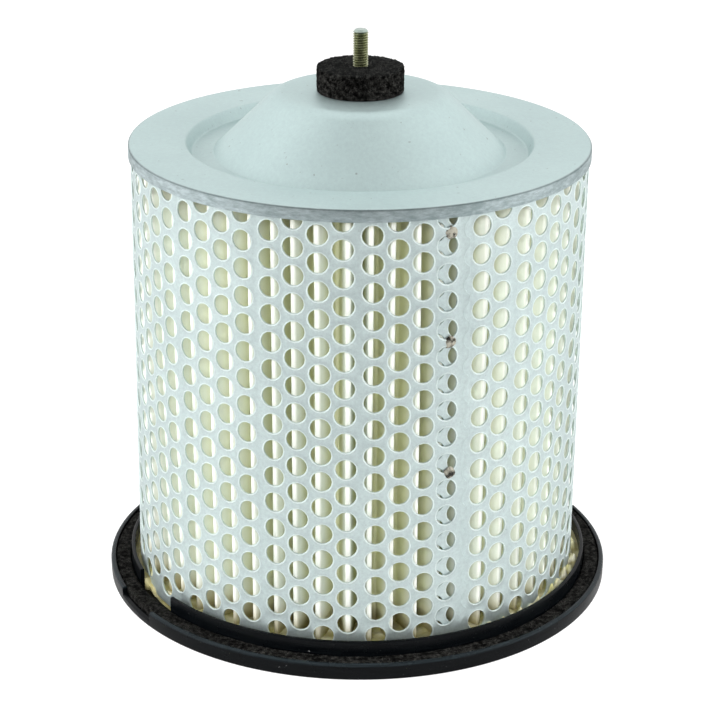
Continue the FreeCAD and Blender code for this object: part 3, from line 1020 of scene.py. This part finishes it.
def moulded():
    """Black moulded plastic with fine turning lines, a painted highlight along the outer top edge and a
    few scuffs.
    """
    material, tree, shader = start("ring_plastic", Specular_IOR_Level=0.11)
    where = coordinates(tree)
    streaks = noise_of(tree, stretched(tree, where, 0.12, 3.0), 0.9, 3.0, 0.6)
    clouds = noise_of(tree, where, 0.06, 4.0, 0.6)
    fine = noise_of(tree, where, 2.2, 2.0)
    black, grey = (0.0006, 0.0010, 0.0014), (0.003, 0.0038, 0.0045)
    colour = blend(tree, spread(tree, streaks, 0.35, 0.7), black, grey)
    # Painted highlight: a grey-blue line along the top of the outer wall, broken up by the streaks.
    high, low = (RING_TOP - 0.35) * MM, (RING_TOP - 0.9) * MM
    edge = spread(tree, height_of(tree, where), low, high, 0.0, 0.6)
    outside = spread(tree, radius_of(tree, where), CHANNEL_R * MM, (CHANNEL_R + 0.4) * MM)
    colour = blend(tree, product(tree, edge, outside, streaks), colour, (0.035, 0.048, 0.055))
    scuffs = noise_of(tree, where, 0.5, 3.0, 0.7)
    colour = blend(tree, spread(tree, scuffs, 0.70, 0.76, 0.0, 0.5), colour, (0.35, 0.36, 0.36))
    link(tree, shader, Base_Color=colour, Roughness=spread(tree, clouds, 0.3, 0.7, 0.18, 0.36))
    bump(tree, shader, weighted(tree, streaks, 0.6, fine), 0.05, 0.5)
    return material


def adhesive(name):
    """Set adhesive: cream to yellow-olive, slightly glossy, with dark bubbles."""
    material, tree, shader = start(name, Roughness=0.38)
    where = coordinates(tree)
    clouds = noise_of(tree, where, 0.16, 4.0, 0.6)
    fine = noise_of(tree, where, 0.8, 2.0)
    colour = blend(tree, spread(tree, clouds, 0.36, 0.64), (0.82, 0.81, 0.68), (0.48, 0.46, 0.20))
    bubbles = node(tree, "TexVoronoi", {"Vector": where, "Scale": 0.45 / MM}).outputs["Distance"]
    colour = blend(tree, spread(tree, bubbles, 0.10, 0.16, 0.65, 0.0), colour, (0.10, 0.09, 0.03))
    high, low = (GLUE_TOP + 0.7) * MM, (GLUE_TOP - 0.2) * MM
    sunk = spread(tree, height_of(tree, where), high, low, 0.0, 0.8)
    colour = blend(tree, sunk, colour, (0.30, 0.26, 0.09))
    link(tree, shader, Base_Color=colour)
    bump(tree, shader, calc(tree, "ADD", fine, bubbles), 0.25, 0.7)
    return material


def plated():
    """Yellow zinc plating on the stud, with painted shade in the thread's roots, worn light at the end.
    """
    material, tree, shader = start("stud_steel", Metallic=1.0)
    where = coordinates(tree)
    clouds = noise_of(tree, where, 0.6, 3.0)
    colour = blend(tree, spread(tree, clouds, 0.35, 0.65), (0.31, 0.33, 0.17), (0.50, 0.52, 0.32))
    root, crest = (STUD_R - THREAD_DEPTH) * MM, (STUD_R - 0.12) * MM
    # Painted shade: darker in the thread's roots.
    root_shade = spread(tree, radius_of(tree, where), root, crest, 0.75, 0.0)
    colour = blend(tree, root_shade, colour, (0.08, 0.09, 0.04))
    end = spread(tree, height_of(tree, where), (STUD_TOP - 1.2) * MM, (STUD_TOP - 0.5) * MM)
    colour = blend(tree, end, colour, (0.48, 0.57, 0.52))
    link(tree, shader, Base_Color=colour, Roughness=spread(tree, clouds, 0.3, 0.7, 0.20, 0.32))
    bump(tree, shader, clouds, 0.02, 0.4)
    return material


def burnt():
    """Spot weld: burnt grains, near black to grey-tan, mixed by noise."""
    material, tree, shader = start("spot_weld", Metallic=0.5, Roughness=0.5)
    grains = noise_of(tree, coordinates(tree), 0.55, 2.0, 0.6)
    colour = blend(tree, spread(tree, grains, 0.40, 0.60), (0.020, 0.018, 0.014), (0.42, 0.40, 0.33))
    link(tree, shader, Base_Color=colour)
    bump(tree, shader, grains, 0.25, 1.0)
    return material


def dress(obj, materials, slot, *nodes):
    """Gives a piece its materials and its body, and hides the CAD nodes that it stands for. The slot is
    not used.
    """
    for material in materials:
        obj.data.materials.append(material)
    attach(obj, "root")
    if nodes:
        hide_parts(*nodes)
    return obj


shell_zinc = sheet_zinc("shell_zinc", (0.70, 0.81, 0.80), (0.555, 0.65, 0.65))
# Lighter zinc for the lips round the holes: a painted highlight.
rim_highlight_zinc = sheet_zinc("punched_edge_highlight", (0.88, 0.97, 0.96), (0.80, 0.90, 0.89))
core_zinc = sheet_zinc("core_zinc", (0.62, 0.70, 0.72), (0.50, 0.58, 0.60))
dress(make_shell(), [shell_zinc, rim_highlight_zinc], "shell_steel", "outer_shell")
dress(make_welds(), [burnt()], "shell_steel")
dress(make_core(), [core_zinc, rim_highlight_zinc], "core_steel", "inner_tube")
dress(make_pleats(), [paper()], "filter_paper", "pleated_media")
dress(make_cap(), [cap_zinc()], "cap_steel", "top_cap")
dress(make_stud(), [plated()], "stud_steel", "stud")
washer = dress(make_washer(), [foam("washer_foam", WASHER_TOP)], "foam", "foam_washer")
seal = dress(make_seal(), [foam("seal_foam")], "foam", "seal_foam")
dress(make_ring(), [moulded()], "ring_plastic", "base_ring")
dress(make_glue(), [adhesive("trough_adhesive")], "glue", "bottom_potting")
dress(make_top_glue(), [adhesive("cap_adhesive")], "glue", "top_potting")


def make_floor():
    """Plain pale floor, white to the camera and in reflections, that keeps the shadow."""
    left, right, front, back = -FLOOR_REACH, FLOOR_REACH, FLOOR_FRONT, FLOOR_REACH
    verts = [(left, front, 0), (right, front, 0), (right, back, 0), (left, back, 0)]
    obj = build("floor", verts, [(0, 1, 2, 3)])
    material = bpy.data.materials.new("floor_white")
    material.use_nodes = True
    tree = material.node_tree
    tree.nodes.clear()
    paint = node(tree, "BsdfDiffuse", {"Color": (FLOOR_GREY, FLOOR_GREY, FLOOR_GREY, 1.0)})
    path = node(tree, "LightPath").outputs
    seen = calc(tree, "MAXIMUM", path["Is Camera Ray"], path["Is Transmission Ray"])
    seen = product(tree, seen, FLOOR_GLOW)
    mirrored = product(tree, path["Is Glossy Ray"], FLOOR_MIRRORED)
    strength = calc(tree, "MAXIMUM", seen, mirrored)
    glow = node(tree, "Emission", {"Color": (1, 1, 1, 1), "Strength": strength})
    both = node(tree, "AddShader", {0: paint.outputs[0], 1: glow.outputs[0]})
    node(tree, "OutputMaterial", {"Surface": both.outputs[0]})
    obj.data.materials.append(material)


def make_world():
    """White to the camera and behind the object in reflections; lights it from all sides."""
    world = bpy.data.worlds.new("studio")
    bpy.context.scene.world = world
    world.use_nodes = True
    tree = world.node_tree
    tree.nodes.clear()
    path = node(tree, "LightPath").outputs
    where = tree.nodes.new("ShaderNodeTexCoord").outputs["Generated"]
    toward = node(tree, "SeparateXYZ", {"Vector": where}).outputs
    backdrop = spread(tree, toward["Y"], *BACKDROP_EDGE)
    mirrored = product(tree, path["Is Glossy Ray"], backdrop)
    seen = calc(tree, "MAXIMUM", path["Is Camera Ray"], path["Is Transmission Ray"])
    seen = calc(tree, "MAXIMUM", seen, mirrored)
    sideways = calc(tree, "ABSOLUTE", toward["X"])
    along = spread(tree, toward["Y"], *FRONT_TO_BACK, WORLD_FRONT, WORLD_BACK)
    aside = spread(tree, sideways, *MIDDLE_TO_SIDE, 1.0, WORLD_SIDE / WORLD_BACK)
    above = spread(tree, toward["Z"], *LEVEL_TO_OVERHEAD, 1.0, WORLD_OVERHEAD / WORLD_BACK)
    strength = product(tree, along, aside, above)
    lit = node(tree, "Background", {"Color": (1, 1, 1, 1), "Strength": strength})
    white = node(tree, "Background", {"Color": (1, 1, 1, 1), "Strength": 1.0})
    mixed = node(tree, "MixShader", {0: seen, 1: lit.outputs[0], 2: white.outputs[0]})
    node(tree, "OutputWorld", {"Surface": mixed.outputs[0]})


def soft_light(name, spot, power):
    """Square lamp that leaves no bright patch on the metal."""
    data = bpy.data.lights.new(name, "AREA")
    data.size = LAMP_SIZE
    data.energy = power
    obj = bpy.data.objects.new(name, data)
    obj.location = spot
    obj.visible_glossy = False
    obj.rotation_euler = (Vector(LAMP_AIM) - Vector(spot)).to_track_quat("-Z", "Y").to_euler()
    bpy.context.scene.collection.objects.link(obj)


def make_camera():
    data = bpy.data.cameras.new("camera")
    data.lens = LENS
    data.sensor_width = 36.0
    data.clip_start = 0.05
    data.clip_end = 20.0
    obj = bpy.data.objects.new("camera", data)
    up = math.radians(ELEVATION)
    spot = Vector(AIM) + DISTANCE * Vector((0, -math.cos(up), math.sin(up)))
    tilt = Matrix.Rotation(math.radians(90 - ELEVATION), 4, "X")
    roll = Matrix.Rotation(math.radians(ROLL), 4, "Z")
    obj.matrix_world = Matrix.Translation(spot) @ tilt @ roll
    bpy.context.scene.collection.objects.link(obj)
    bpy.context.scene.camera = obj


make_floor()
make_world()
soft_light("key", KEY_SPOT, KEY_WATTS)
soft_light("left", LEFT_SPOT, SIDE_WATTS)
soft_light("right", RIGHT_SPOT, SIDE_WATTS)
make_camera()
bpy.context.scene.view_settings.view_transform = "Standard"
bpy.context.scene.cycles.diffuse_bounces = 12
bpy.context.scene.cycles.max_bounces = 16
